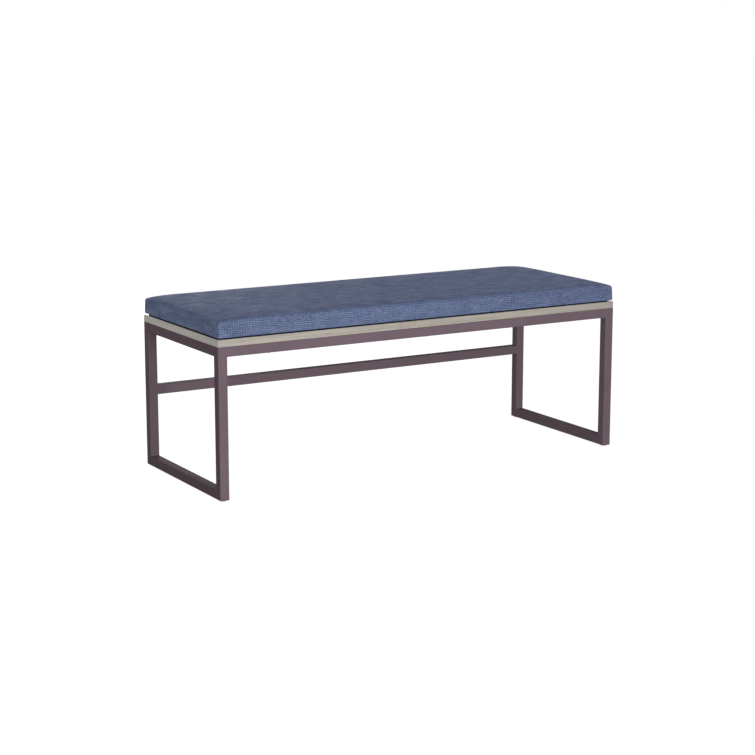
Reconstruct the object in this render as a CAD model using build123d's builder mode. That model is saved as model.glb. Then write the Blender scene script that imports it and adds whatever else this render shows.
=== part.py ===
"""Entryway bench: a welded frame of square steel tube, a wooden seat panel and an upholstered cushion.

Millimetres. The origin is on the floor under the middle of the bench. +X runs along the bench to the
right as seen from the front, the front faces -Y, and +Z is up.
"""

import os
from math import radians, tan

from build123d import *

os.makedirs("parts", exist_ok=True)

# Frame
FRAME_LENGTH = 1219.2  # over the outsides of the two end loops
FRAME_DEPTH = 457.2  # over the front and rear faces of the legs
FRAME_HEIGHT = 391.5  # from the underside of the runners to the top of the rails
STRETCHER_RISE = 193.8  # from the underside of the runners to the underside of the stretcher
TUBE = 25.4  # outside width of the square tube
TUBE_WALL = 1.5
TUBE_CORNER = 1.6  # outside corner radius of the tube

# Glides pressed into the runners under the legs
GLIDE_LIFT = 2.0  # height of the glide's foot, which holds the runners off the floor
GLIDE_SETBACK = 3.0  # from the foot's rim to the tube's faces
GLIDE_EASE = 0.6  # chamfer round the underside of the foot
GLIDE_STEM = 8.0
GLIDE_STEM_LENGTH = 9.0
GLIDE_PRESS = 0.1  # room between the stem and its hole, on the radius

# Seat panel
PANEL_THICKNESS = 19.05
PANEL_EASE = 1.5  # radius on all the panel's edges

# Screws that hold the panel to the frame, inside the rails
PANEL_SCREW = 6.0
PANEL_SCREW_ROOM = 0.3  # round the screw in the rail's top wall, on the radius
PANEL_SCREW_RIM = 2.25  # of the head round the screw
PANEL_SCREW_HEAD_HEIGHT = 3.6
PANEL_SCREW_SOCKET = 4.0  # across the flats
PANEL_SCREW_SOCKET_DEPTH = 2.4
PANEL_SCREW_MARGIN = 120.0  # from the inside of a loop to the first screw of a long rail
INSERT_WALL = 2.0
INSERT_SKIN = 5.0  # wood left over the pocket of an insert
INSERT_ROOM = 1.0  # between the top of an insert and the end of its pocket
SCREW_TIP_ROOM = 1.0  # between the tip of a screw and the top of its insert
ACCESS_ROOM = 0.75  # round the screw's head in the hole in the rail's bottom wall
PLUG_RIM = 1.5  # of the cap round the access hole
PLUG_CAP_HEIGHT = 1.4
PLUG_EASE = 0.7  # chamfer round the underside of the cap
PLUG_STEM_LENGTH = 5.0
PLUG_STEM_WALL = 1.2
PLUG_ROOM = 0.1  # between the plug's stem and the access hole, on the radius

# Felt underlay between the panel and the cushion
UNDERLAY_THICKNESS = 2.0
UNDERLAY_INSET = 3.5  # from the edge of the panel
UNDERLAY_CORNER = 30.0  # corner radius in plan

# Cushion
CUSHION_THICKNESS = 52.0  # at its crown
CUSHION_INSET = 1.0  # from the edge of the panel to the widest line of the cushion
CUSHION_CORNER = 4.0  # corner radius in plan
LONG_EDGE_RISE = 3.0  # from the brow of a long edge to the crown
LONG_EDGE_RUN = 110.0  # over which the top rises from that brow
END_EDGE_RISE = 5.0
END_EDGE_RUN = 80.0
BROW_RADIUS = 11.0  # roll of the top edge
SIDE_LEAN = 1.4  # how far the top of a side is drawn in
TUCK_DEPTH = 7.0  # in from the side, to where the fabric lies flat under the cushion
TUCK_RISE = 3.5  # from there up to where the side begins
FABRIC = 1.2
HEM_WIDTH = 45.0  # fabric turned under the board
BOARD_THICKNESS = 9.0

# Staples that hold the hem to the board
STAPLE_PITCH = 75.0
STAPLE_CROWN = 10.0
STAPLE_COVER = 4.2  # board left over the staples' points
STAPLE_WIRE = 0.7
STAPLE_WIRE_WIDTH = 1.2

# Wood screws up through the panel into the cushion's board
CUSHION_SCREW = 4.0
CUSHION_SCREW_ROOM = 0.3  # round the screw in the panel, on the radius
CUSHION_SCREW_RIM = 2.0  # of the head round the screw
CUSHION_SCREW_ANGLE = 90.0  # of the countersink
CUSHION_SCREW_SOCKET = 2.8  # across the square drive
CUSHION_SCREW_SOCKET_DEPTH = 1.6
CUSHION_SCREW_TIP = 3.0  # length of the point
CUSHION_SCREW_COVER = 1.5  # board left over the point
CUSHION_SCREW_MARGIN = 44.0  # from the raw edge of the hem

# Levels and centre lines worked out from the sizes above
RUNNER_UNDERSIDE = GLIDE_LIFT
RAIL_TOP = RUNNER_UNDERSIDE + FRAME_HEIGHT
RAIL_MIDDLE = RAIL_TOP - TUBE / 2
RAIL_UNDERSIDE = RAIL_TOP - TUBE
STRETCHER_MIDDLE = RUNNER_UNDERSIDE + STRETCHER_RISE + TUBE / 2
SEAT_LEVEL = RAIL_TOP + PANEL_THICKNESS
CUSHION_FOOT = SEAT_LEVEL + UNDERLAY_THICKNESS
BOARD_TOP = CUSHION_FOOT + FABRIC + BOARD_THICKNESS
LOOP_X = FRAME_LENGTH / 2 - TUBE / 2
LEG_Y = FRAME_DEPTH / 2 - TUBE / 2
LOOP_INSIDE_X = FRAME_LENGTH / 2 - TUBE
CUSHION_HALF_LENGTH = FRAME_LENGTH / 2 - CUSHION_INSET
CUSHION_HALF_DEPTH = FRAME_DEPTH / 2 - CUSHION_INSET
STAPLE_LEG = FABRIC + BOARD_THICKNESS - STAPLE_COVER
PANEL_SCREW_HEAD = PANEL_SCREW + 2 * PANEL_SCREW_RIM
INSERT_DIAMETER = PANEL_SCREW + 2 * INSERT_WALL
INSERT_LENGTH = PANEL_THICKNESS - INSERT_SKIN - INSERT_ROOM
ACCESS_HOLE = PANEL_SCREW_HEAD + 2 * ACCESS_ROOM
PLUG_CAP = ACCESS_HOLE + 2 * PLUG_RIM
CUSHION_SCREW_HEAD = CUSHION_SCREW + 2 * CUSHION_SCREW_RIM

# Where the screws stand, as seen from above
SIDES = {"left": -1, "right": 1}
ENDS = {"front": -1, "rear": 1}
RAIL_SCREW_X = LOOP_INSIDE_X - PANEL_SCREW_MARGIN
RAIL_SCREW_ROW = (-RAIL_SCREW_X, 0, RAIL_SCREW_X)
PANEL_SCREWS = [(x, end * LEG_Y) for end in ENDS.values() for x in RAIL_SCREW_ROW]
PANEL_SCREWS += [(side * LOOP_X, 0) for side in SIDES.values()]
CUSHION_SCREW_X = CUSHION_HALF_LENGTH - HEM_WIDTH - CUSHION_SCREW_MARGIN
CUSHION_SCREW_Y = CUSHION_HALF_DEPTH - HEM_WIDTH - CUSHION_SCREW_MARGIN
CUSHION_SCREW_ROW = (-CUSHION_SCREW_X, 0, CUSHION_SCREW_X)
CUSHION_SCREWS = [(x, end * CUSHION_SCREW_Y) for end in ENDS.values() for x in CUSHION_SCREW_ROW]


def save(piece, name):
    """Labels a finished piece and writes it to its own file."""
    piece.part.label = name
    export_step(piece.part, f"parts/{name}.step")


def draw_tube():
    """Draws the tube's section: a rounded square with a square bore."""
    RectangleRounded(TUBE, TUBE, TUBE_CORNER)
    Rectangle(TUBE - 2 * TUBE_WALL, TUBE - 2 * TUBE_WALL, mode=Mode.SUBTRACT)


def mitre(end, level, up):
    """The 45 degree plane at an outside corner of a loop, with its normal towards the leg."""
    return Plane(origin=(0, end * FRAME_DEPTH / 2, level), z_dir=(0, end, up))


def make_crosswise(side, outer_level, up):
    """A level tube of an end loop, mitred at both legs; up is 1 at the floor and -1 under the seat."""
    with BuildPart() as tube:
        middle = outer_level + up * TUBE / 2
        with BuildSketch(Plane(origin=(side * LOOP_X, 0, middle), x_dir=(1, 0, 0), z_dir=(0, 1, 0))):
            draw_tube()
        extrude(amount=FRAME_DEPTH / 2, both=True)
        for end in ENDS.values():
            split(bisect_by=mitre(end, outer_level, up), keep=Keep.BOTTOM)
    return tube


def make_lengthwise(end, middle):
    """A long tube that butts against the insides of both loops."""
    with BuildPart() as tube:
        with BuildSketch(Plane(origin=(0, end * LEG_Y, middle), x_dir=(0, 1, 0), z_dir=(1, 0, 0))):
            draw_tube()
        extrude(amount=LOOP_INSIDE_X, both=True)
    return tube


def drill_rail(places):
    """Drills a rail for its panel screws: a close hole in the top wall and an access hole below it."""
    with Locations(*[(x, y, RAIL_TOP) for x, y in places]):
        Hole(PANEL_SCREW / 2 + PANEL_SCREW_ROOM, depth=TUBE / 2)
    with Locations(*[(x, y, RAIL_MIDDLE) for x, y in places]):
        Hole(ACCESS_HOLE / 2, depth=TUBE / 2)


# End loops: legs, floor runners and end rails
for side_name, side in SIDES.items():
    for end_name, end in ENDS.items():
        with BuildPart() as leg:
            with BuildSketch(Plane(origin=(side * LOOP_X, end * LEG_Y, RUNNER_UNDERSIDE))):
                draw_tube()
            extrude(amount=FRAME_HEIGHT)
            split(bisect_by=mitre(end, RUNNER_UNDERSIDE, 1), keep=Keep.TOP)
            split(bisect_by=mitre(end, RAIL_TOP, -1), keep=Keep.TOP)
        save(leg, f"{end_name}_{side_name}_leg")

    runner_tube = make_crosswise(side, RUNNER_UNDERSIDE, 1)
    inner_wall = RUNNER_UNDERSIDE + TUBE_WALL
    with BuildPart() as runner:
        add(runner_tube.part)
        with Locations(*[(side * LOOP_X, end * LEG_Y, inner_wall) for end in ENDS.values()]):
            Hole(GLIDE_STEM / 2 + GLIDE_PRESS, depth=TUBE_WALL)
    save(runner, f"{side_name}_floor_runner")

    end_tube = make_crosswise(side, RAIL_TOP, -1)
    with BuildPart() as end_rail:
        add(end_tube.part)
        drill_rail([(side * LOOP_X, 0)])
    save(end_rail, f"{side_name}_end_rail")

# Long rails under the seat, and the stretcher between the rear legs
for end_name, end in ENDS.items():
    rail_tube = make_lengthwise(end, RAIL_MIDDLE)
    with BuildPart() as rail:
        add(rail_tube.part)
        drill_rail([(x, end * LEG_Y) for x in RAIL_SCREW_ROW])
    save(rail, f"{end_name}_rail")

stretcher = make_lengthwise(ENDS["rear"], STRETCHER_MIDDLE)
save(stretcher, "rear_stretcher")

# Weld metal, ground flush, in the upright grooves between the long tubes and the rounded edges of the legs.
# Each weld has its leg, the level of its tube, and the face of the tube that it is on.
FRONT, REAR = ENDS["front"], ENDS["rear"]
WELDS = (
    (FRONT, RAIL_MIDDLE, FRONT),
    (REAR, RAIL_MIDDLE, REAR),
    (REAR, STRETCHER_MIDDLE, FRONT),
    (REAR, STRETCHER_MIDDLE, REAR),
)
with BuildPart() as weld_fills:
    for side in SIDES.values():
        for end, middle, face in WELDS:
            root_x = side * LOOP_INSIDE_X
            face_y = end * LEG_Y + face * TUBE / 2
            round_x = root_x + side * TUBE_CORNER
            round_y = face_y - face * TUBE_CORNER
            half_chord = TUBE_CORNER / 2**0.5
            with BuildSketch(Plane.XY.offset(middle - TUBE / 2 + TUBE_CORNER)):
                with BuildLine():
                    Polyline((root_x, round_y), (root_x, face_y), (round_x, face_y))
                    ThreePointArc(
                        (round_x, face_y),
                        (round_x - side * half_chord, round_y + face * half_chord),
                        (root_x, round_y),
                    )
                make_face()
            extrude(amount=TUBE - 2 * TUBE_CORNER)
save(weld_fills, "weld_fills")

# Glides: a round foot, and a stem pressed up into the runner
for side_name, side in SIDES.items():
    for end_name, end in ENDS.items():
        foot_plane = Plane(origin=(side * LOOP_X, end * LEG_Y, 0))
        with BuildPart() as glide:
            with BuildSketch(foot_plane):
                Circle(TUBE / 2 - GLIDE_SETBACK)
            extrude(amount=GLIDE_LIFT)
            chamfer(glide.edges().group_by(Axis.Z)[0], GLIDE_EASE)
            with BuildSketch(foot_plane.offset(GLIDE_LIFT)):
                Circle(GLIDE_STEM / 2)
            extrude(amount=GLIDE_STEM_LENGTH)
            chamfer(glide.edges().group_by(Axis.Z)[-1], GLIDE_EASE)
        save(glide, f"{end_name}_{side_name}_glide")

# Seat panel, with pockets for the inserts and countersunk holes for the cushion's screws
with BuildPart() as seat_panel:
    with BuildSketch(Plane.XY.offset(RAIL_TOP)):
        Rectangle(FRAME_LENGTH, FRAME_DEPTH)
    extrude(amount=PANEL_THICKNESS)
    fillet(seat_panel.edges(), PANEL_EASE)
    with BuildSketch(Plane.XY.offset(RAIL_TOP)):
        with Locations(*PANEL_SCREWS):
            Circle(INSERT_DIAMETER / 2)
    extrude(amount=INSERT_LENGTH + INSERT_ROOM, mode=Mode.SUBTRACT)
    with Locations(*[Location((x, y, RAIL_TOP), (180, 0, 0)) for x, y in CUSHION_SCREWS]):
        CounterSinkHole(
            CUSHION_SCREW / 2 + CUSHION_SCREW_ROOM,
            CUSHION_SCREW_HEAD / 2,
            depth=PANEL_THICKNESS,
            counter_sink_angle=CUSHION_SCREW_ANGLE,
        )
save(seat_panel, "seat_panel")

# Threaded inserts in the panel
with BuildPart() as panel_inserts:
    with BuildSketch(Plane.XY.offset(RAIL_TOP)):
        with Locations(*PANEL_SCREWS):
            Circle(INSERT_DIAMETER / 2)
            Circle(PANEL_SCREW / 2, mode=Mode.SUBTRACT)
    extrude(amount=INSERT_LENGTH)
save(panel_inserts, "panel_inserts")

# Panel screws, with their heads inside the rails against the top wall
with BuildPart() as panel_screws:
    with BuildSketch(Plane.XY.offset(RAIL_TOP - TUBE_WALL)):
        with Locations(*PANEL_SCREWS):
            Circle(PANEL_SCREW / 2)
    extrude(amount=TUBE_WALL + INSERT_LENGTH - SCREW_TIP_ROOM)
    with BuildSketch(Plane.XY.offset(RAIL_TOP - TUBE_WALL)):
        with Locations(*PANEL_SCREWS):
            Circle(PANEL_SCREW_HEAD / 2)
    extrude(amount=-PANEL_SCREW_HEAD_HEIGHT)
    with BuildSketch(Plane.XY.offset(RAIL_TOP - TUBE_WALL - PANEL_SCREW_HEAD_HEIGHT)):
        with Locations(*PANEL_SCREWS):
            RegularPolygon(PANEL_SCREW_SOCKET / 2, 6, major_radius=False)
    extrude(amount=PANEL_SCREW_SOCKET_DEPTH, mode=Mode.SUBTRACT)
save(panel_screws, "panel_screws")

# Plugs that close the access holes under the rails
with BuildPart() as access_plugs:
    with BuildSketch(Plane.XY.offset(RAIL_UNDERSIDE)):
        with Locations(*PANEL_SCREWS):
            Circle(PLUG_CAP / 2)
    extrude(amount=-PLUG_CAP_HEIGHT)
    chamfer(access_plugs.edges().group_by(Axis.Z)[0], PLUG_EASE)
    with BuildSketch(Plane.XY.offset(RAIL_UNDERSIDE)):
        with Locations(*PANEL_SCREWS):
            Circle(ACCESS_HOLE / 2 - PLUG_ROOM)
            Circle(ACCESS_HOLE / 2 - PLUG_ROOM - PLUG_STEM_WALL, mode=Mode.SUBTRACT)
    extrude(amount=PLUG_STEM_LENGTH)
save(access_plugs, "access_plugs")

# Felt underlay that keeps the staples off the panel; its edge shows as a dark line under the cushion
with BuildPart() as felt_underlay:
    with BuildSketch(Plane.XY.offset(SEAT_LEVEL)):
        RectangleRounded(
            FRAME_LENGTH - 2 * UNDERLAY_INSET,
            FRAME_DEPTH - 2 * UNDERLAY_INSET,
            UNDERLAY_CORNER,
        )
        with Locations(*CUSHION_SCREWS):
            Circle(CUSHION_SCREW / 2 + CUSHION_SCREW_ROOM, mode=Mode.SUBTRACT)
    extrude(amount=UNDERLAY_THICKNESS)
save(felt_underlay, "felt_underlay")


def cushion_form(inset):
    """The cushion's crowned form, drawn in all round by an inset.

    A rounded plan is crossed by a lengthwise and a depthwise section. From the middle out, each section
    is a flat crest, an arc down to the brow, the roll of the top edge, a leaning side and the tuck.
    """
    base = CUSHION_FOOT + inset
    crest = CUSHION_FOOT + CUSHION_THICKNESS - inset
    with BuildPart() as form:
        with BuildSketch(Plane.XY.offset(base)):
            RectangleRounded(
                2 * (CUSHION_HALF_LENGTH - inset),
                2 * (CUSHION_HALF_DEPTH - inset),
                CUSHION_CORNER - inset,
            )
        extrude(amount=crest - base)
        for plane, half, reach, rise, run in (
            (Plane.XZ, CUSHION_HALF_LENGTH, FRAME_DEPTH, END_EDGE_RISE, END_EDGE_RUN),
            (Plane.YZ, CUSHION_HALF_DEPTH, FRAME_LENGTH, LONG_EDGE_RISE, LONG_EDGE_RUN),
        ):
            side = half - inset
            brow = half - SIDE_LEAN - BROW_RADIUS
            brow_level = crest - rise
            shoulder_level = brow_level - BROW_RADIUS + inset
            side_foot = CUSHION_FOOT + TUCK_RISE
            tuck_centre = (half - TUCK_DEPTH, side_foot)
            with BuildSketch(plane):
                with BuildLine():
                    flat = Line((0, crest), (brow - run, crest))
                    crown = TangentArc(flat @ 1, (brow, brow_level), tangent=flat % 1)
                    roll = TangentArc(crown @ 1, (side - SIDE_LEAN, shoulder_level), tangent=crown % 1)
                    Line(roll @ 1, (side, side_foot))
                    tuck = EllipticalCenterArc(
                        tuck_centre, TUCK_DEPTH - inset, TUCK_RISE - inset, arc_size=-90
                    )
                    Line(tuck @ 1, (0, base))
                    mirror(about=Plane.YZ)
                make_face()
            extrude(amount=reach, both=True, mode=Mode.INTERSECT)
    return form


outer_form = cushion_form(0)
inner_form = cushion_form(FABRIC)

# Staples through the hem into the board, with their crowns drawn level with the fabric
with BuildPart() as cover_staples:
    for way in (-1, 1):
        long_hem_y = way * (CUSHION_HALF_DEPTH - HEM_WIDTH / 2)
        short_hem_x = way * (CUSHION_HALF_LENGTH - HEM_WIDTH / 2)
        long_hem = Plane(origin=(0, long_hem_y, CUSHION_FOOT), x_dir=(1, 0, 0), z_dir=(0, -1, 0))
        short_hem = Plane(origin=(short_hem_x, 0, CUSHION_FOOT), x_dir=(0, 1, 0), z_dir=(1, 0, 0))
        for plane, half in ((long_hem, CUSHION_HALF_LENGTH), (short_hem, CUSHION_HALF_DEPTH)):
            count = int(2 * (half - HEM_WIDTH) / STAPLE_PITCH) + 1
            with BuildSketch(plane):
                with GridLocations(STAPLE_PITCH, 0, count, 1):
                    Rectangle(STAPLE_CROWN, STAPLE_LEG, align=(Align.CENTER, Align.MIN))
                    with Locations((0, STAPLE_WIRE)):
                        Rectangle(
                            STAPLE_CROWN - 2 * STAPLE_WIRE,
                            STAPLE_LEG,
                            align=(Align.CENTER, Align.MIN),
                            mode=Mode.SUBTRACT,
                        )
            extrude(amount=STAPLE_WIRE_WIDTH / 2, both=True)
save(cover_staples, "cover_staples")

# Cushion cover: the fabric over the top and sides, with its hem turned under
with BuildPart() as cushion_cover:
    add(outer_form.part)
    add(inner_form.part, mode=Mode.SUBTRACT)
    with BuildSketch(Plane.XY.offset(CUSHION_FOOT)):
        Rectangle(2 * (CUSHION_HALF_LENGTH - HEM_WIDTH), 2 * (CUSHION_HALF_DEPTH - HEM_WIDTH))
    extrude(amount=FABRIC, mode=Mode.SUBTRACT)
    add(cover_staples.part, mode=Mode.SUBTRACT)
save(cushion_cover, "cushion_cover")

# Foam block that fills the cover above the board
with BuildPart() as foam_block:
    add(inner_form.part)
    split(bisect_by=Plane.XY.offset(BOARD_TOP), keep=Keep.TOP)
save(foam_block, "foam_block")

# Plywood board that the hem is stapled to
with BuildPart() as cushion_board:
    add(inner_form.part)
    split(bisect_by=Plane.XY.offset(BOARD_TOP), keep=Keep.BOTTOM)
    with BuildSketch(Plane.XY.offset(CUSHION_FOOT + FABRIC)):
        with Locations(*CUSHION_SCREWS):
            Circle(CUSHION_SCREW / 2)
    extrude(amount=BOARD_THICKNESS - CUSHION_SCREW_COVER, mode=Mode.SUBTRACT)
    add(cover_staples.part, mode=Mode.SUBTRACT)
save(cushion_board, "cushion_board")

# Cushion screws: countersunk under the panel, with their points in the board
with BuildPart() as cushion_screws:
    sink = CUSHION_SCREW_RIM / tan(radians(CUSHION_SCREW_ANGLE / 2))
    tip_level = BOARD_TOP - CUSHION_SCREW_COVER
    for x, y in CUSHION_SCREWS:
        with BuildSketch(Plane(origin=(x, y, 0), x_dir=(1, 0, 0), z_dir=(0, -1, 0))):
            with BuildLine():
                Polyline(
                    (0, RAIL_TOP),
                    (CUSHION_SCREW_HEAD / 2, RAIL_TOP),
                    (CUSHION_SCREW / 2, RAIL_TOP + sink),
                    (CUSHION_SCREW / 2, tip_level - CUSHION_SCREW_TIP),
                    (0, tip_level),
                    close=True,
                )
            make_face()
        revolve(axis=Axis((x, y, 0), (0, 0, 1)))
    with BuildSketch(Plane.XY.offset(RAIL_TOP)):
        with Locations(*CUSHION_SCREWS):
            Rectangle(CUSHION_SCREW_SOCKET, CUSHION_SCREW_SOCKET)
    extrude(amount=CUSHION_SCREW_SOCKET_DEPTH, mode=Mode.SUBTRACT)
save(cushion_screws, "cushion_screws")
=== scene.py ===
import math

import bpy
import numpy as np
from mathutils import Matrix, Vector


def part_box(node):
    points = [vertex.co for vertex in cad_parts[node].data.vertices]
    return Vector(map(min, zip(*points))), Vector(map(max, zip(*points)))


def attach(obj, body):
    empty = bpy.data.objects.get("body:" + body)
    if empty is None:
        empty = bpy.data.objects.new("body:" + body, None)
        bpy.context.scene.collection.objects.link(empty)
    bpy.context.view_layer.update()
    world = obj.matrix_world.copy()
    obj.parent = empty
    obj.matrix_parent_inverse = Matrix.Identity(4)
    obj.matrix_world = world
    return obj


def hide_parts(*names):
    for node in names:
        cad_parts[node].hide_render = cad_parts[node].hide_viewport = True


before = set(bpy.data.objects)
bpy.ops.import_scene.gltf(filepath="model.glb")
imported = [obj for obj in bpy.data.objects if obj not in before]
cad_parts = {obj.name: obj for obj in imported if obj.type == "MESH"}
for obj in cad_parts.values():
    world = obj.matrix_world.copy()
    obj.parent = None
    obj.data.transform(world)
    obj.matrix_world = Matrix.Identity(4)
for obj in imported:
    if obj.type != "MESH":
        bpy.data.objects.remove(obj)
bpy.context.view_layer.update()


# Steel frame: two end loops of one inch square tube, joined by a front rail, a rear rail and a
# rear stretcher. The tubes are mitred and welded, the welds are ground flush, and the whole
# frame is then powder coated in one plum brown colour.
def linear(hex_colour):
    """sRGB hex to linear RGBA: a straight line near black, then a power curve of 2.4."""
    srgb = np.array([int(hex_colour[i : i + 2], 16) for i in (1, 3, 5)]) / 255
    rgb = np.where(srgb <= 0.04045, srgb / 12.92, ((srgb + 0.055) / 1.055) ** 2.4)
    return (*rgb.tolist(), 1.0)


def add_node(tree, kind, inputs=None, **settings):
    """Adds one shader node. Settings are its properties, and inputs are values, or outputs to
    link from."""
    node = tree.nodes.new("ShaderNode" + kind)
    for name, value in settings.items():
        setattr(node, name, value)
    for socket, value in (inputs or {}).items():
        if isinstance(value, bpy.types.NodeSocket):
            tree.links.new(value, node.inputs[socket])
        else:
            node.inputs[socket].default_value = value
    return node


def new_finish(name):
    """An empty material and its node tree."""
    material = bpy.data.materials.new(name)
    material.use_nodes = True
    material.node_tree.nodes.clear()
    return material, material.node_tree


def coat(material, *names):
    """Gives CAD nodes a finish in place of the plain one that they came with."""
    for name in names:
        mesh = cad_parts[name].data
        mesh.materials.clear()
        mesh.materials.append(material)


PLUM = "#806e77"
PLUM_DEEP = "#7b6a73"
COLOUR_DRIFT = 0.16  # over which the colour changes a little
ORANGE_PEEL = 0.0026
ORANGE_PEEL_DEPTH = 0.00005
PEEL_ROUGHNESS = (0.3, 0.4)
COAT_GLOSS = 0.001

# Powder coat on steel: baked polyester in a matt plum brown, which mirrors next to nothing. The
# melted powder leaves a fine orange peel, and the colour drifts a little along a tube.
powder_coat, tree = new_finish("plum_powder_coat")
place = add_node(tree, "TexCoord").outputs["Object"]
drift = add_node(tree, "TexNoise", {"Vector": place, "Scale": 1 / COLOUR_DRIFT, "Detail": 3.0})
peel = add_node(tree, "TexNoise", {"Vector": place, "Scale": 1 / ORANGE_PEEL, "Detail": 2.0})
tone = add_node(tree, "ValToRGB", {"Fac": drift.outputs["Fac"]})
tone.color_ramp.elements[0].position = 0.35
tone.color_ramp.elements[0].color = linear(PLUM_DEEP)
tone.color_ramp.elements[1].position = 0.6
tone.color_ramp.elements[1].color = linear(PLUM)
gloss = add_node(
    tree,
    "MapRange",
    {
        "Value": peel.outputs["Fac"],
        "From Min": 0.3,
        "From Max": 0.7,
        "To Min": PEEL_ROUGHNESS[0],
        "To Max": PEEL_ROUGHNESS[1],
    },
)
skin = add_node(
    tree,
    "Bump",
    {"Height": peel.outputs["Fac"], "Distance": ORANGE_PEEL_DEPTH, "Strength": 0.5},
)
surface = add_node(
    tree,
    "BsdfPrincipled",
    {
        "Base Color": tone.outputs["Color"],
        "Roughness": gloss.outputs["Result"],
        "Normal": skin.outputs["Normal"],
        "IOR": 1.5,
        "Specular IOR Level": COAT_GLOSS,
    },
)
add_node(tree, "OutputMaterial", {"Surface": surface.outputs["BSDF"]})

coat(powder_coat, "front_left_leg", "rear_left_leg", "front_right_leg", "rear_right_leg")
coat(powder_coat, "left_floor_runner", "right_floor_runner", "left_end_rail", "right_end_rail")
coat(powder_coat, "front_rail", "rear_rail", "rear_stretcher", "weld_fills")


# Glides and access plugs: small moulded nylon pieces. The glides are pressed into the runners
# under the legs, and the plugs close the holes under the rails that the driver goes through.
NYLON_BLACK = "#1b1b1d"
MOULD_GRAIN = 0.0008
MOULD_GRAIN_DEPTH = 0.00004

# Black nylon: moulded with a fine spark-eroded grain, which makes it dull and a little grey.
nylon, tree = new_finish("black_nylon")
place = add_node(tree, "TexCoord").outputs["Object"]
grain = add_node(tree, "TexNoise", {"Vector": place, "Scale": 1 / MOULD_GRAIN, "Detail": 3.0})
dull = add_node(
    tree,
    "MapRange",
    {"Value": grain.outputs["Fac"], "From Min": 0.3, "From Max": 0.7, "To Min": 0.45, "To Max": 0.65},
)
skin = add_node(
    tree,
    "Bump",
    {"Height": grain.outputs["Fac"], "Distance": MOULD_GRAIN_DEPTH, "Strength": 0.6},
)
surface = add_node(
    tree,
    "BsdfPrincipled",
    {
        "Base Color": linear(NYLON_BLACK),
        "Roughness": dull.outputs["Result"],
        "Normal": skin.outputs["Normal"],
        "IOR": 1.53,
    },
)
add_node(tree, "OutputMaterial", {"Surface": surface.outputs["BSDF"]})
coat(nylon, "front_left_glide", "rear_left_glide", "front_right_glide", "rear_right_glide")
coat(nylon, "access_plugs")


# Seat panel: a three quarter inch board, veneered in bleached oak and banded along its edges
# with the same veneer. It lies on the frame, and its corners are eased with sandpaper.
OAK_PALE = "#bab2a7"
OAK_MID = "#a49c92"
OAK_LINE = "#8d8479"
GRAIN_WIDTH = 0.0042
GRAIN_LENGTH = 0.16
PORE_WIDTH = 0.0011
PORE_LENGTH = 0.024
PORE_DEPTH = 0.00012
END_FACE = 0.75  # a face whose normal lies this far along the board belongs to an end

# Bleached oak: open pored wood, limed and clear lacquered. The eye sees fine straight lines along
# the board in a pale greige, and short darker pores. The pores are drawn two times too wide.
oak, tree = new_finish("bleached_oak")
place = add_node(tree, "TexCoord").outputs["Object"]
facing = add_node(tree, "SeparateXYZ", {"Vector": add_node(tree, "NewGeometry").outputs["Normal"]})
turned = add_node(tree, "Mapping", {"Vector": place, "Rotation": (0.0, 0.0, math.pi / 2)})
endwise = add_node(tree, "Math", {0: facing.outputs["X"]}, operation="ABSOLUTE")
on_end = add_node(tree, "Math", {0: endwise.outputs["Value"], 1: END_FACE}, operation="GREATER_THAN")
along = add_node(
    tree,
    "Mix",
    {"Factor": on_end.outputs["Value"], 4: place, 5: turned.outputs["Vector"]},
    data_type="VECTOR",
).outputs[1]
stretched = add_node(
    tree,
    "Mapping",
    {"Vector": along, "Scale": (1 / GRAIN_LENGTH, 1 / GRAIN_WIDTH, 1 / GRAIN_WIDTH)},
)
figure = add_node(
    tree,
    "TexNoise",
    {
        "Vector": stretched.outputs["Vector"],
        "Scale": 1.0,
        "Detail": 4.0,
        "Roughness": 0.6,
        "Distortion": 0.4,
    },
)
dashed = add_node(
    tree,
    "Mapping",
    {"Vector": along, "Scale": (1 / PORE_LENGTH, 1 / PORE_WIDTH, 1 / PORE_WIDTH)},
)
pores = add_node(tree, "TexNoise", {"Vector": dashed.outputs["Vector"], "Scale": 1.0, "Detail": 2.0})
pore = add_node(
    tree,
    "MapRange",
    {"Value": pores.outputs["Fac"], "From Min": 0.56, "From Max": 0.7, "To Min": 0.0, "To Max": 0.55},
)
tone = add_node(tree, "ValToRGB", {"Fac": figure.outputs["Fac"]})
tone.color_ramp.elements[0].position = 0.36
tone.color_ramp.elements[0].color = linear(OAK_MID)
tone.color_ramp.elements[1].position = 0.62
tone.color_ramp.elements[1].color = linear(OAK_PALE)
lined = add_node(
    tree,
    "Mix",
    {"Factor": pore.outputs["Result"], 6: tone.outputs["Color"], 7: linear(OAK_LINE)},
    data_type="RGBA",
).outputs[2]
skin = add_node(
    tree,
    "Bump",
    {"Height": pore.outputs["Result"], "Distance": PORE_DEPTH, "Strength": 0.5},
    invert=True,
)
surface = add_node(
    tree,
    "BsdfPrincipled",
    {
        "Base Color": lined,
        "Normal": skin.outputs["Normal"],
        "Roughness": 0.6,
        "IOR": 1.5,
        "Specular IOR Level": 0.4,
        "Coat Weight": 1.0,
        "Coat Roughness": 0.15,
    },
)
add_node(tree, "OutputMaterial", {"Surface": surface.outputs["BSDF"]})
coat(oak, "seat_panel")


# Screws, inserts and staples: plain stock fasteners. Machine screws hold the panel down on its
# threaded inserts, wood screws hold the cushion's board, and staples hold the cover's hem.
ZINC = "#b9bcc0"
ZINC_WARM = "#b4b1a4"
PASSIVATE_PATCH = 0.004
TURNING_LINE = 0.0006

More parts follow.
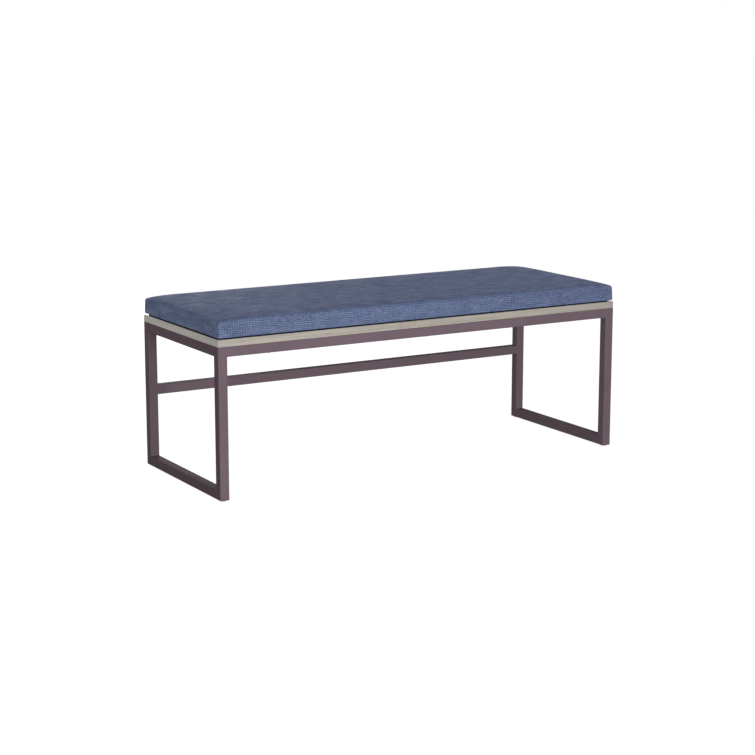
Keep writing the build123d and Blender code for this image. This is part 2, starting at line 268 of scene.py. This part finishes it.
# Zinc plated steel: bright plating with a clear passivate, bluish with faint warm patches.
zinc, tree = new_finish("zinc_plated_steel")
place = add_node(tree, "TexCoord").outputs["Object"]
patch = add_node(tree, "TexNoise", {"Vector": place, "Scale": 1 / PASSIVATE_PATCH, "Detail": 2.0})
lines = add_node(tree, "TexNoise", {"Vector": place, "Scale": 1 / TURNING_LINE, "Detail": 1.0})
tone = add_node(tree, "ValToRGB", {"Fac": patch.outputs["Fac"]})
tone.color_ramp.elements[0].position = 0.4
tone.color_ramp.elements[0].color = linear(ZINC)
tone.color_ramp.elements[1].position = 0.65
tone.color_ramp.elements[1].color = linear(ZINC_WARM)
worn = add_node(
    tree,
    "MapRange",
    {"Value": lines.outputs["Fac"], "From Min": 0.3, "From Max": 0.7, "To Min": 0.28, "To Max": 0.42},
)
surface = add_node(
    tree,
    "BsdfPrincipled",
    {"Base Color": tone.outputs["Color"], "Roughness": worn.outputs["Result"], "Metallic": 1.0},
)
add_node(tree, "OutputMaterial", {"Surface": surface.outputs["BSDF"]})
coat(zinc, "panel_inserts", "panel_screws", "cushion_screws", "cover_staples")


# Felt underlay: a thin black sheet cut a little smaller than the cushion. It lies between the panel
# and the cushion's stapled underside. Its black edge is painted shade for the shadow line at the
# cushion's foot.
FELT_SHADE_BLACK = "#141416"
FELT_SHADE_GREY = "#222226"
FELT_FIBRE = 0.0015
FELT_FIBRE_DEPTH = 0.0003

# Black felt: pressed wool fibres with no weave, quite dull, with a faint grey mottle. Its near black
# is painted shade, placed where the cushion's foot casts its shadow line.
felt, tree = new_finish("black_felt")
place = add_node(tree, "TexCoord").outputs["Object"]
fibres = add_node(
    tree,
    "TexNoise",
    {"Vector": place, "Scale": 1 / FELT_FIBRE, "Detail": 4.0, "Distortion": 1.0},
)
tone = add_node(tree, "ValToRGB", {"Fac": fibres.outputs["Fac"]})
tone.color_ramp.elements[0].position = 0.4
tone.color_ramp.elements[0].color = linear(FELT_SHADE_BLACK)
tone.color_ramp.elements[1].position = 0.65
tone.color_ramp.elements[1].color = linear(FELT_SHADE_GREY)
skin = add_node(
    tree,
    "Bump",
    {"Height": fibres.outputs["Fac"], "Distance": FELT_FIBRE_DEPTH, "Strength": 0.8},
)
surface = add_node(
    tree,
    "BsdfPrincipled",
    {
        "Base Color": tone.outputs["Color"],
        "Normal": skin.outputs["Normal"],
        "Roughness": 0.95,
        "IOR": 1.5,
        "Specular IOR Level": 0.1,
    },
)
add_node(tree, "OutputMaterial", {"Surface": surface.outputs["BSDF"]})
coat(felt, "felt_underlay")


# Cushion board: the plywood that the cushion is built on. It is cut to the cushion's outline,
# its edges are left raw, and the cover's hem is stapled to its underside.
PLY_FACE = "#d9bd94"
PLY_DARK = "#b98f5f"
PLY_LAYER = 0.0018
PLY_GRAIN_WIDTH = 0.005
PLY_GRAIN_LENGTH = 0.12

# Birch plywood: thin peeled layers with the grain crossed, which show as stripes on a sawn edge.
birch, tree = new_finish("birch_plywood")
place = add_node(tree, "TexCoord").outputs["Object"]
stretched = add_node(
    tree,
    "Mapping",
    {"Vector": place, "Scale": (1 / PLY_GRAIN_LENGTH, 1 / PLY_GRAIN_WIDTH, 1 / PLY_LAYER)},
)
figure = add_node(tree, "TexNoise", {"Vector": stretched.outputs["Vector"], "Scale": 1.0, "Detail": 4.0})
tone = add_node(tree, "ValToRGB", {"Fac": figure.outputs["Fac"]})
tone.color_ramp.elements[0].position = 0.35
tone.color_ramp.elements[0].color = linear(PLY_DARK)
tone.color_ramp.elements[1].position = 0.6
tone.color_ramp.elements[1].color = linear(PLY_FACE)
surface = add_node(
    tree, "BsdfPrincipled", {"Base Color": tone.outputs["Color"], "Roughness": 0.7, "IOR": 1.5}
)
add_node(tree, "OutputMaterial", {"Surface": surface.outputs["BSDF"]})
coat(birch, "cushion_board")


# Foam block: the cushion's filling, a slab of polyurethane foam cut to the board and glued on.
# The cover pulls its top edges round, so that it is crowned and its corners sit lowest.
CUSHION_LOW, CUSHION_HIGH = (np.array(corner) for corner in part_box("cushion_cover"))
BOARD_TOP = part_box("cushion_board")[1].z
CROWN_RISE = (0.005, 0.003)  # from the brow of an end and of a long side
CROWN_RUN = (0.080, 0.110)
EDGE_ROLL = 0.011
CORNER_ROLL = 0.0075
ROLL_CHANGE = 0.080  # over which the roll tightens towards a corner
SIDE_LEAN = 0.0014
CORNER_RADIUS = 0.004
CORNER_OPENING = 0.3  # growth of the corner radius with the depth in from the side
CORNER_STEPS = 3
LENGTH_STEPS = 118
DEPTH_STEPS = 44
TUCK_STEPS = 5
WALL_STEPS = 6
ROLL_STEPS = 8


def corner_grid(steps):
    """Places along one side: an even run of core shares from -1 to 1, with the steps round a corner
    at each end. Returns the core share and the corner share of each place."""
    round_off = np.arange(1, CORNER_STEPS + 1) / CORNER_STEPS
    core = np.concatenate([-np.ones(CORNER_STEPS), np.linspace(-1, 1, steps + 1), np.ones(CORNER_STEPS)])
    corner = np.concatenate([-round_off[::-1], np.zeros(steps + 1), round_off])
    return core, corner


def plan(core, corner, half, radius):
    """Points of a rectangle with rounded corners. A place is its core share times the half side less
    the radius, plus its corner share times the radius. In a corner the two shares make a square,
    which is drawn in to a quarter disc: each point keeps its direction and its larger share."""
    larger = np.maximum(np.abs(corner[0]), np.abs(corner[1]))
    reach = np.maximum(np.hypot(corner[0], corner[1]), 1e-9)
    disc = np.where(larger > 0, larger / reach, 1.0)
    return [(half[k] - radius) * core[k] + radius * corner[k] * disc for k in (0, 1)]


def crown_drop(place, half, rise, run):
    """How far the top sinks at a place: nothing in the middle, then a parabola over the last run up
    to the edge, where it is the whole rise."""
    share = np.clip((np.abs(place) - half + run) / run, 0.0, 1.2)
    return rise * share**2


def cushion_form(base, tuck, inset, crown):
    """The cushion as stacked outlines between two flat grids: a quarter ellipse at the foot, as deep
    and as high as the tuck says, a side that leans in, a quarter round along the top edge, tighter
    near the corners, and a top that the crown drops lower towards each edge. Returns vertices, faces,
    and where each face corner lies on the flat cloth."""
    side_core, side_corner = corner_grid(LENGTH_STEPS)
    end_core, end_corner = corner_grid(DEPTH_STEPS)
    nx, ny = len(side_core), len(end_core)
    number = np.arange(nx * ny).reshape(ny, nx)
    rim = np.concatenate([number[0], number[1:, -1], number[-1, -2::-1], number[-2:0:-1, 0]])
    core = np.array([a.ravel() for a in np.meshgrid(side_core, end_core)])
    corner = np.array([a.ravel() for a in np.meshgrid(side_corner, end_corner)])
    half = CUSHION_HIGH[:2] - inset

    clear = np.max((1 - np.abs(core)) * half[:, None], axis=0)
    ease = np.clip(clear / ROLL_CHANGE, 0, 1)
    roll_radius = CORNER_ROLL + (EDGE_ROLL - CORNER_ROLL) * ease**2 * (3 - 2 * ease) - inset

    def outline(depth, who):
        """The plan at a depth in from the widest outline, for the grid places named by who."""
        return plan(
            core[:, who],
            corner[:, who],
            [half[k] - depth for k in (0, 1)],
            CORNER_RADIUS + CORNER_OPENING * depth,
        )

    turn = np.linspace(0, math.pi / 2, TUCK_STEPS + 1)
    roll = np.linspace(0, math.pi / 2, ROLL_STEPS + 1)
    rise = np.linspace(0, 1, WALL_STEPS + 1)[1:-1]
    drawn = np.concatenate([tuck[0] * (1 - np.sin(turn)), SIDE_LEAN * rise, SIDE_LEAN + 0 * roll])
    foot = np.concatenate([tuck[1] * (1 - np.cos(turn)), tuck[1] + 0 * rise, tuck[1] + 0 * roll])
    shoulder = np.concatenate([0 * turn, rise, 1 + 0 * roll])
    inward = np.concatenate([0 * turn, 0 * rise, 1 - np.cos(roll)])
    upward = np.concatenate([0 * turn, 0 * rise, np.sin(roll)])

    everyone = np.arange(nx * ny)
    top_depth = SIDE_LEAN + roll_radius
    top = outline(top_depth, everyone)
    top_z = crown - inset
    for k in (0, 1):
        top_z = top_z - crown_drop(top[k], half[k] - top_depth, CROWN_RISE[k], CROWN_RUN[k])
    foot_x, foot_y = outline(drawn[0], everyone)
    edge_radius = roll_radius[rim]
    depth = drawn[:, None] + inward[:, None] * edge_radius
    ring_x, ring_y = outline(depth, rim)
    wall = top_z[rim] - edge_radius - base - tuck[1]
    ring_z = base + foot[:, None] + shoulder[:, None] * wall + upward[:, None] * edge_radius

    inner = slice(1, -1)
    points = np.concatenate(
        [
            np.stack([foot_x, foot_y, np.full(nx * ny, base)], 1),
            np.stack([ring_x[inner], ring_y[inner], ring_z[inner]], 2).reshape(-1, 3),
            np.stack([top[0], top[1], top_z], 1),
        ]
    )
    rings = np.arange((len(drawn) - 2) * len(rim)).reshape(-1, len(rim)) + nx * ny
    top_start = nx * ny + rings.size
    stack = np.vstack([rim, rings, rim + top_start])
    beside = np.roll(stack, -1, 1)
    wall_faces = np.stack([stack[:-1], beside[:-1], beside[1:], stack[1:]], 2)
    cap = np.stack([number[:-1, :-1], number[:-1, 1:], number[1:, 1:], number[1:, :-1]], 2)
    cap = cap.reshape(-1, 4)
    faces = np.concatenate([cap[:, ::-1], wall_faces.reshape(-1, 4), cap + top_start])

    middle = nx // 2
    step = np.hypot(np.diff(depth[:, middle]), np.diff(ring_z[:, middle]))
    below = np.concatenate([np.cumsum(step[::-1])[::-1], [0.0]])[:, None]
    sides = np.repeat([0, 1, 2, 3], [nx - 1, ny - 1, nx - 1, ny - 1])
    turned = np.array([0, 1, 0, -1])[sides]
    away = np.array([-1, -1, 1, -1])[sides]
    edge = half[1] - SIDE_LEAN - EDGE_ROLL

    def unrolled(spots):
        """A side's points laid out flat. The way down goes on outwards from the edge of the top. The
        way along is that of the long sides, which carries on round the front corners to the ends."""
        along = np.where(turned == 0, spots[..., 0], turned * (half.sum() + spots[..., 1]))
        return np.stack([along, np.broadcast_to(away * (edge + below), along.shape)], 2)

    spots = np.stack([ring_x, ring_y], 2)
    here, there = unrolled(spots), unrolled(np.roll(spots, -1, 1))
    wall_cloth = np.stack([here[:-1], there[:-1], there[1:], here[1:]], 2).reshape(-1, 4, 2)
    flat_points = points[:, :2]
    cloth = np.concatenate([flat_points[cap[:, ::-1]], wall_cloth, flat_points[cap + top_start]])
    return points, faces, cloth


def cushion_mesh(name, points, faces, cloth, material):
    """A smooth mesh of the form, with its flat cloth kept as a UV map in metres."""
    mesh = bpy.data.meshes.new(name)
    mesh.from_pydata(points, [], faces.tolist())
    mesh.shade_smooth()
    mesh.uv_layers.new(name="flat_cloth")
    mesh.uv_layers["flat_cloth"].data.foreach_set("uv", cloth.astype(np.float32).ravel())
    mesh.materials.append(material)
    piece = bpy.data.objects.new(name, mesh)
    bpy.context.scene.collection.objects.link(piece)
    return piece


FABRIC = 0.0012
FOAM_ROOM = 0.0015  # between the foam and the fabric
COVER_SWELL = 0.0010  # room left over the crown for the cover to swell into
FOAM_CREAM = "#e6dcb8"
FOAM_CELL_PAINTED_SHADE = "#cfc294"
FOAM_CELL = 0.0012

# Polyurethane foam: cut block with open cells, dull and cream coloured. The hollow of each cell is
# drawn darker, as painted shade.
foam_finish, tree = new_finish("polyurethane_foam")
place = add_node(tree, "TexCoord").outputs["Object"]
cells = add_node(tree, "TexVoronoi", {"Vector": place, "Scale": 1 / FOAM_CELL})
tone = add_node(tree, "ValToRGB", {"Fac": cells.outputs["Distance"]})
tone.color_ramp.elements[0].color = linear(FOAM_CELL_PAINTED_SHADE)
tone.color_ramp.elements[1].position = 0.6
tone.color_ramp.elements[1].color = linear(FOAM_CREAM)
skin = add_node(
    tree,
    "Bump",
    {"Height": cells.outputs["Distance"], "Distance": FOAM_CELL / 3, "Strength": 0.6},
)
surface = add_node(
    tree,
    "BsdfPrincipled",
    {
        "Base Color": tone.outputs["Color"],
        "Normal": skin.outputs["Normal"],
        "Roughness": 0.95,
        "IOR": 1.5,
    },
)
add_node(tree, "OutputMaterial", {"Surface": surface.outputs["BSDF"]})

foam = cushion_mesh(
    "foam_core",
    *cushion_form(BOARD_TOP, (0.0, 0.0), FABRIC + FOAM_ROOM, CUSHION_HIGH[2] - COVER_SWELL),
    foam_finish,
)
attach(foam, "root")
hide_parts("foam_block")


# Cushion cover: blue woven upholstery fabric, pulled tight over the foam and stapled under the
# board. The yarns of its sides run level round the whole cushion, as on a side strip sewn to
# the top, and no piping, seam or button shows.
TUCK = (0.0070, 0.0035)  # in from the side and up from the foot, where the cloth turns under
HEM_LIFT = 0.0002  # keeps the cloth just clear of the felt
YARN = (0.0036, 0.0023)  # spacing of the yarns along and across the bench
YARN_HEIGHT = 0.0005
# Painted light: the crest of each yarn is drawn lighter, and the dip between yarns darker.
YARN_CREST_PAINTED_LIGHT = 0.22  # how much lighter the crest of a yarn is
SLUB = (0.014, 0.010)  # length of a thick or thin stretch of yarn
ROW_STEP = 7.37  # gives each yarn its own row of the noise
WANDER = (0.040, 0.025)  # over which the yarns stray
WANDER_FAR = 0.004
PATCH = (0.022, 0.012)  # where light and dark yarns take turns
PICK_SHOW = (1.36, 0.46)
CROSSING = (0.2, 0.5)  # how much of the second yarn shows, under and over the first
BAND = (0.045, 0.028)  # patches of looser and tighter spun yarn
BAND_SHOW = 0.15
STREAK = (0.10, 0.010)  # level streaks of the same
LOOSE_REACH = (0.74, 1.26)  # the sums of both that are loosest and tightest
LOOSE_DULLNESS = (0.875, 0.625)
TONE_REACH = (0.175, 1.215)  # the sums that are darkest and lightest
BLUE_LIGHT = "#7e8db4"
BLUE_MID = "#5b6a8d"
BLUE_DARK = "#3c4865"
SHEEN_BLUE = "#7c95e6"

# Woven blue fabric: a plain weave of slub yarns in near blues. Thick and thin stretches of yarn
# make an irregular cross-hatch, and tighter spun patches and streaks shine a little more. The
# yarns are drawn about three times too thick, so that they show.
weave, tree = new_finish("blue_slub_weave")
flat = add_node(tree, "UVMap", uv_map="flat_cloth").outputs["UV"]
bends = add_node(tree, "VectorMath", {0: flat, 1: (*WANDER, 1.0)}, operation="DIVIDE").outputs["Vector"]
bend = add_node(tree, "TexNoise", {"Vector": bends, "Scale": 1.0, "Detail": 0.0}, noise_dimensions="2D")
laid = add_node(
    tree,
    "VectorMath",
    {0: bend.outputs["Color"], 1: (WANDER_FAR, WANDER_FAR, 0.0), 2: flat},
    operation="MULTIPLY_ADD",
).outputs["Vector"]
counted = add_node(tree, "VectorMath", {0: laid, 1: (*YARN, 1.0)}, operation="DIVIDE").outputs["Vector"]
which = add_node(tree, "VectorMath", {0: counted}, operation="FLOOR").outputs["Vector"]
within = add_node(tree, "VectorMath", {0: counted}, operation="FRACTION").outputs["Vector"]
which_xy = add_node(tree, "SeparateXYZ", {"Vector": which})
within_xy = add_node(tree, "SeparateXYZ", {"Vector": within})
flat_xy = add_node(tree, "SeparateXYZ", {"Vector": flat})
both = add_node(tree, "Math", {0: which_xy.outputs["X"], 1: which_xy.outputs["Y"]}, operation="ADD")
over = add_node(tree, "Math", {0: both.outputs["Value"], 1: 2.0}, operation="FLOORED_MODULO")
over = over.outputs["Value"]

shades = []
heights = []
for along, across, length, patch_size, show in (
    ("X", "Y", SLUB[0], PATCH, PICK_SHOW[0]),
    ("Y", "X", SLUB[1], PATCH[::-1], PICK_SHOW[1]),
):
    own_row = add_node(tree, "Math", {0: which_xy.outputs[across], 1: ROW_STEP}, operation="MULTIPLY")
    run = add_node(tree, "Math", {0: flat_xy.outputs[along], 1: length}, operation="DIVIDE")
    path = add_node(tree, "CombineXYZ", {"X": run.outputs["Value"], "Y": own_row.outputs["Value"]})
    slub = add_node(
        tree,
        "TexNoise",
        {"Vector": path.outputs["Vector"], "Scale": 1.0, "Detail": 1.0},
        noise_dimensions="2D",
    )
    patches = add_node(tree, "VectorMath", {0: flat, 1: (*patch_size, 1.0)}, operation="DIVIDE")
    patch = add_node(
        tree,
        "TexNoise",
        {"Vector": patches.outputs["Vector"], "Scale": 1.0, "Detail": 1.0},
        noise_dimensions="2D",
    )
    shown = add_node(
        tree,
        "MapRange",
        {"Value": patch.outputs["Fac"], "From Min": 0.35, "From Max": 0.65, "To Max": show},
    )
    pick = add_node(tree, "Math", {0: which_xy.outputs[across], 1: 2.0}, operation="FLOORED_MODULO")
    pick = add_node(tree, "Math", {0: pick.outputs["Value"], 1: 0.5}, operation="SUBTRACT")
    shade = add_node(
        tree,
        "Math",
        {0: pick.outputs["Value"], 1: shown.outputs["Result"], 2: slub.outputs["Fac"]},
        operation="MULTIPLY_ADD",
    )
    shades.append(shade.outputs["Value"])
    arch = add_node(tree, "Math", {0: within_xy.outputs[across], 1: math.pi}, operation="MULTIPLY")
    heights.append(add_node(tree, "Math", {0: arch.outputs["Value"]}, operation="SINE").outputs["Value"])

crossing = add_node(tree, "MapRange", {"Value": over, "To Min": CROSSING[0], "To Max": CROSSING[1]})
shade = add_node(tree, "Mix", {"Factor": crossing.outputs["Result"], 2: shades[0], 3: shades[1]})
shade = shade.outputs[0]
height = add_node(tree, "Mix", {"Factor": over, 2: heights[0], 3: heights[1]}).outputs[0]
wide = add_node(tree, "VectorMath", {0: flat, 1: (*BAND, 1.0)}, operation="DIVIDE").outputs["Vector"]
band = add_node(tree, "TexNoise", {"Vector": wide, "Scale": 1.0, "Detail": 1.0}, noise_dimensions="2D")
banded = add_node(
    tree, "Math", {0: band.outputs["Fac"], 1: BAND_SHOW, 2: shade}, operation="MULTIPLY_ADD"
)
# Painted light and shade: the crest of each yarn is drawn lighter and the dip beside it darker.
crest_painted_tone = add_node(
    tree, "Math", {0: height, 1: YARN_CREST_PAINTED_LIGHT, 2: banded.outputs["Value"]}, operation="MULTIPLY_ADD"
)
spread = add_node(
    tree,
    "MapRange",
    {"Value": crest_painted_tone.outputs["Value"], "From Min": TONE_REACH[0], "From Max": TONE_REACH[1]},
)
tone = add_node(tree, "ValToRGB", {"Fac": spread.outputs["Result"]})
tone.color_ramp.elements[0].position = 0.0
tone.color_ramp.elements[0].color = linear(BLUE_DARK)
middle = tone.color_ramp.elements.new(0.5)
middle.color = linear(BLUE_MID)
tone.color_ramp.elements[2].position = 1.0
tone.color_ramp.elements[2].color = linear(BLUE_LIGHT)
level = add_node(tree, "VectorMath", {0: flat, 1: (*STREAK, 1.0)}, operation="DIVIDE").outputs["Vector"]
streak = add_node(tree, "TexNoise", {"Vector": level, "Scale": 1.0, "Detail": 1.0}, noise_dimensions="2D")
loose = add_node(tree, "Math", {0: band.outputs["Fac"], 1: streak.outputs["Fac"]}, operation="ADD")
dull = add_node(
    tree,
    "MapRange",
    {
        "Value": loose.outputs["Value"],
        "From Min": LOOSE_REACH[0],
        "From Max": LOOSE_REACH[1],
        "To Min": LOOSE_DULLNESS[0],
        "To Max": LOOSE_DULLNESS[1],
    },
)
skin = add_node(tree, "Bump", {"Height": height, "Distance": YARN_HEIGHT, "Strength": 0.4})
surface = add_node(
    tree,
    "BsdfPrincipled",
    {
        "Base Color": tone.outputs["Color"],
        "Normal": skin.outputs["Normal"],
        "Roughness": dull.outputs["Result"],
        "IOR": 1.46,
        "Specular IOR Level": 0.60,
        "Sheen Weight": 0.15,
        "Sheen Roughness": 0.5,
        "Sheen Tint": linear(SHEEN_BLUE),
    },
)
add_node(tree, "OutputMaterial", {"Surface": surface.outputs["BSDF"]})

LAY_LEVEL = CUSHION_LOW[2] + HEM_LIFT
HEM_GRIP = 1.0
FOAM_GRIP = 0.22
COVER_PUSH = 4.0
COVER_MOMENTS = 20
points, faces, cloth = cushion_form(LAY_LEVEL, TUCK, 0.0, CUSHION_HIGH[2] - COVER_SWELL)
cover = cushion_mesh("cushion_cover_cloth", points, faces, cloth, weave)


def settle(piece, start, grip, push, frames, cap):
    """Blows the cloth up a little. Its grip draws each point back to its start: fully at the stapled
    hem, and softly over the foam. A point keeps its direction of travel, and its distance d is eased
    to cap times tanh(d / cap), so that none goes further than the cap."""
    held = piece.vertex_groups.new(name="held")
    for strength in np.unique(grip):
        held.add(np.flatnonzero(grip == strength).tolist(), float(strength), "REPLACE")
    pressed = piece.modifiers.new("pressed", "CLOTH")
    pressed.settings.quality = 6
    pressed.settings.mass = 0.3
    pressed.settings.tension_stiffness = 20
    pressed.settings.compression_stiffness = 20
    pressed.settings.shear_stiffness = 8
    pressed.settings.bending_stiffness = 2
    pressed.settings.vertex_group_mass = "held"
    pressed.settings.use_pressure = True
    pressed.settings.uniform_pressure_force = push
    pressed.settings.effector_weights.gravity = 0
    pressed.point_cache.frame_end = frames
    for moment in range(1, frames + 1):
        bpy.context.scene.frame_set(moment)
    blown = np.empty(start.size, np.float32)
    ready = piece.evaluated_get(bpy.context.evaluated_depsgraph_get())
    ready.data.vertices.foreach_get("co", blown)
    travel = blown.reshape(-1, 3) - start
    far = np.linalg.norm(travel, axis=1)
    eased = cap * np.tanh(far / cap) / np.maximum(far, 1e-9)
    piece.modifiers.remove(pressed)
    bpy.context.scene.frame_set(1)
    piece.data.vertices.foreach_set("co", (start + travel * eased[:, None]).astype(np.float32).ravel())
    piece.data.update()


grip = np.where(points[:, 2] < LAY_LEVEL + TUCK[1], HEM_GRIP, FOAM_GRIP)
settle(cover, points, grip, COVER_PUSH, COVER_MOMENTS, 2 * COVER_SWELL)
finer = cover.modifiers.new("finer", "SUBSURF")
finer.levels = finer.render_levels = 1
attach(cover, "root")
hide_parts("cushion_cover")


# Floor and room: a plain pale floor in a white studio. The camera sees both as white, also in a
# reflection, and the floor keeps the bench's shadow. The light that they give the bench is weaker.
FLOOR_HALF = 12.0
FLOOR_PALE = "#6a6a6a"  # what lights the bench from below
FLOOR_SHOWN = "#b4b4b4"  # what the camera sees of it, with its glow
FLOOR_GLOW = 0.92
STUDIO_WHITE = "#ffffff"
WALL_LIGHT = 0.54
CEILING_LIGHT = 0.02


def seen_by_eye(tree):
    """1 for a ray from the camera, from a reflection or through glass, and 0 for one that only
    carries light: the largest of the three flags."""
    ray = add_node(tree, "LightPath")
    seen = ray.outputs["Is Camera Ray"]
    for flag in ("Is Glossy Ray", "Is Transmission Ray"):
        either = add_node(tree, "Math", {0: seen, 1: ray.outputs[flag]}, operation="MAXIMUM")
        seen = either.outputs["Value"]
    return seen


floor_mesh = bpy.data.meshes.new("floor")
corners = FLOOR_HALF * np.array([[-1, -1, 0], [1, -1, 0], [1, 1, 0], [-1, 1, 0]])
floor_mesh.from_pydata(corners.tolist(), [], [(0, 1, 2, 3)])
floor = bpy.data.objects.new("floor", floor_mesh)
bpy.context.scene.collection.objects.link(floor)

# Studio paper: dull and evenly pale.
paper, tree = new_finish("pale_studio_floor")
plain = add_node(tree, "BsdfDiffuse", {"Color": linear(FLOOR_PALE)})
shaded = add_node(tree, "BsdfDiffuse", {"Color": linear(FLOOR_SHOWN)})
glow = add_node(tree, "Emission", {"Strength": FLOOR_GLOW})
white = add_node(tree, "AddShader", {0: shaded.outputs["BSDF"], 1: glow.outputs["Emission"]})
choice = add_node(
    tree,
    "MixShader",
    {"Fac": seen_by_eye(tree), 1: plain.outputs["BSDF"], 2: white.outputs["Shader"]},
)
add_node(tree, "OutputMaterial", {"Surface": choice.outputs["Shader"]})
floor_mesh.materials.append(paper)

world = bpy.data.worlds.new("white_studio")
bpy.context.scene.world = world
world.use_nodes = True
tree = world.node_tree
tree.nodes.clear()
towards = add_node(tree, "SeparateXYZ", {"Vector": add_node(tree, "TexCoord").outputs["Generated"]})
room = add_node(
    tree,
    "MapRange",
    {"Value": towards.outputs["Z"], "To Min": WALL_LIGHT, "To Max": CEILING_LIGHT},
)
soft = add_node(tree, "Background", {"Color": linear(STUDIO_WHITE), "Strength": room.outputs["Result"]})
bright = add_node(tree, "Background", {"Color": linear(STUDIO_WHITE), "Strength": 1.0})
choice = add_node(
    tree,
    "MixShader",
    {"Fac": seen_by_eye(tree), 1: soft.outputs["Background"], 2: bright.outputs["Background"]},
)
add_node(tree, "OutputWorld", {"Surface": choice.outputs["Shader"]})


# Light: a large soft box close in front of the bench, low and a little left of its middle, a
# weaker one low behind it and a small one by its left end, over the even light of the room.
# Each has its place, the point that it is aimed at, its side in metres and its power in watts.
SOFT_BOXES = (
    ("front_soft_box", (-0.42, -2.65, 0.45), (-0.10, 0.0, 0.30), 0.9, 40.0),
    ("rear_soft_box", (0.5, 2.8, 0.55), (0.0, 0.0, 0.3), 1.0, 12.0),
    ("left_soft_box", (-1.4, 0.1, 0.45), (-0.6, 0.0, 0.42), 0.5, 0.95),
)
for name, stands, aims, size, power in SOFT_BOXES:
    lamp = bpy.data.lights.new(name, "AREA")
    lamp.shape = "SQUARE"
    lamp.size = size
    lamp.energy = power
    soft_box = bpy.data.objects.new(name, lamp)
    soft_box.location = stands
    way = Vector(aims) - Vector(stands)
    soft_box.rotation_euler = way.to_track_quat("-Z", "Y").to_euler()
    soft_box.visible_camera = False
    bpy.context.scene.collection.objects.link(soft_box)


# Camera: at the photograph's angle, from the front left and a little above the seat. Its place,
# turn, tilt and lens were fitted to the frame's straight edges.
SENSOR = 36.0
LENS = 88.642
CAMERA_PLACE = (-2.5511, -4.3173, 1.2227)
CAMERA_YAW = 0.53038
CAMERA_PITCH = 0.19774

lens = bpy.data.cameras.new("camera")
lens.sensor_width = SENSOR
lens.lens = LENS
camera = bpy.data.objects.new("camera", lens)
camera.location = CAMERA_PLACE
camera.rotation_euler = (math.pi / 2 - CAMERA_PITCH, 0.0, -CAMERA_YAW)
bpy.context.scene.collection.objects.link(camera)
bpy.context.scene.camera = camera
bpy.context.scene.view_settings.view_transform = "Standard"
